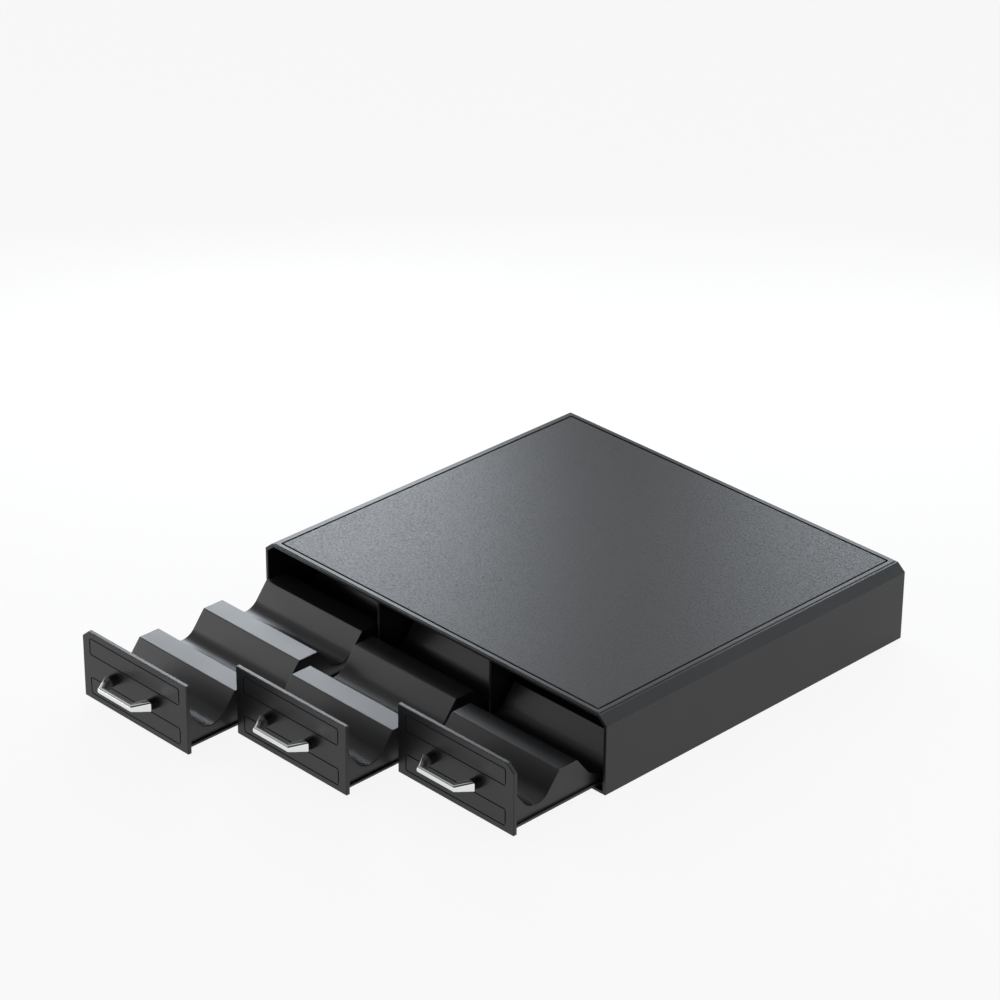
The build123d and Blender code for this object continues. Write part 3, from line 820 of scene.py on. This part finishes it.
floor_mesh = bpy.data.meshes.new("floor")
floor_mesh.from_pydata(
    [(x, y, 0.0) for x, y in ((-1, -1), (1, -1), (1, 1), (-1, 1))], [], [(0, 1, 2, 3)])
floor_mesh.transform(Matrix.Scale(FLOOR_HALF, 4))
floor = bpy.data.objects.new("floor", floor_mesh)
bpy.context.scene.collection.objects.link(floor)

floor_material, tree, shader = new_material("white_sweep", "#f4f4f4", roughness=0.9)
rays = add_node(tree, "ShaderNodeLightPath")
seen = add_node(
    tree, "ShaderNodeMath", {0: rays.outputs["Is Camera Ray"], 1: SEEN_WHITE}, operation="MULTIPLY")
share = add_node(
    tree, "ShaderNodeMath", {0: rays.outputs["Is Glossy Ray"], 1: MIRRORED_WHITE, 2: seen.outputs[0]},
    operation="MULTIPLY_ADD")
glow = add_node(tree, "ShaderNodeEmission", {"Strength": 1.0})
mixed = add_node(
    tree, "ShaderNodeMixShader",
    {0: share.outputs[0], 1: shader.outputs["BSDF"], 2: glow.outputs["Emission"]})
tree.links.new(mixed.outputs["Shader"], tree.nodes["Material Output"].inputs["Surface"])
floor_mesh.materials.append(floor_material)
print("floor is", 2 * FLOOR_HALF, "m wide")

# %% Light the studio
AMBIENT = 0.25  # what matt surfaces are lit with, where plain white is 1
WHITE_UP_TO = 0.12  # height of a direction, from 0 at the horizon to 1 overhead
DARK_FROM = 0.75
OVERHEAD = 0.06

world = bpy.data.worlds.new("studio")
world.use_nodes = True
bpy.context.scene.world = world
tree = world.node_tree
rays = add_node(tree, "ShaderNodeLightPath")
direction = add_node(tree, "ShaderNodeTexCoord").outputs["Generated"]
height = add_node(tree, "ShaderNodeSeparateXYZ", {"Vector": direction})
room = add_node(
    tree, "ShaderNodeMapRange",
    {"Value": height.outputs["Z"], "From Min": WHITE_UP_TO, "From Max": DARK_FROM, "To Min": 1.0,
     "To Max": OVERHEAD},
    interpolation_type="SMOOTHSTEP")
mirrored = add_node(
    tree, "ShaderNodeMath", {0: rays.outputs["Is Glossy Ray"], 1: rays.outputs["Is Transmission Ray"]},
    operation="MAXIMUM")
level = add_node(
    tree, "ShaderNodeMapRange",
    {"Value": mirrored.outputs[0], "To Min": AMBIENT, "To Max": room.outputs["Result"]})
shown = add_node(
    tree, "ShaderNodeMath", {0: level.outputs["Result"], 1: rays.outputs["Is Camera Ray"]},
    operation="MAXIMUM")
tree.links.new(shown.outputs[0], tree.nodes["Background"].inputs["Strength"])
tree.nodes["Background"].inputs["Color"].default_value = (1.0, 1.0, 1.0, 1.0)
print("studio:", world.name)

# %% Set up the lamps
DAYLIGHT = "#f0f7ff"  # the sheen on the top is a little cool, as daylight is


def soft_lamp(name, place, target, width, height, watts, colour="#ffffff"):
    """A rectangular soft lamp at place, which faces target."""
    lamp = bpy.data.objects.new(name, bpy.data.lights.new(name, "AREA"))
    lamp.data.shape = "RECTANGLE"
    lamp.data.size = width
    lamp.data.size_y = height
    lamp.data.energy = watts
    lamp.data.color = hex_colour(colour)[:3]
    lamp.location = place
    lamp.rotation_euler = (Vector(target) - Vector(place)).to_track_quat("-Z", "Y").to_euler()
    lamp.visible_camera = False
    bpy.context.scene.collection.objects.link(lamp)
    return lamp


soft_lamp("left_softbox", (-0.58, 0.20, 0.345), (-0.15, -0.13, 0.055),
          width=0.38, height=0.30, watts=2.7, colour=DAYLIGHT)
soft_lamp("back_softbox", (-0.15, 0.62, 0.34), (0.14, 0.13, 0.062),
          width=0.35, height=0.30, watts=1.6, colour=DAYLIGHT)
soft_lamp("chamfer_softbox", (1.05, 1.1, 1.15), (0.17, 0.0, 0.06),
          width=1.0, height=1.0, watts=4.0, colour=DAYLIGHT)
soft_lamp("side_strip", (1.1, 0.9, 0.35), (0.174, 0.1, 0.03), width=0.6, height=0.5, watts=3.0)
soft_lamp("front_strip", (-1.2, -0.9, 0.35), (-0.15, -0.35, 0.03), width=0.8, height=0.6, watts=4.0)
soft_lamp("top_softbox", (-1.3, -0.3, 1.7), (0.0, 0.0, 0.0), width=1.6, height=1.6, watts=3.0)

bpy.context.scene.view_settings.view_transform = "Standard"
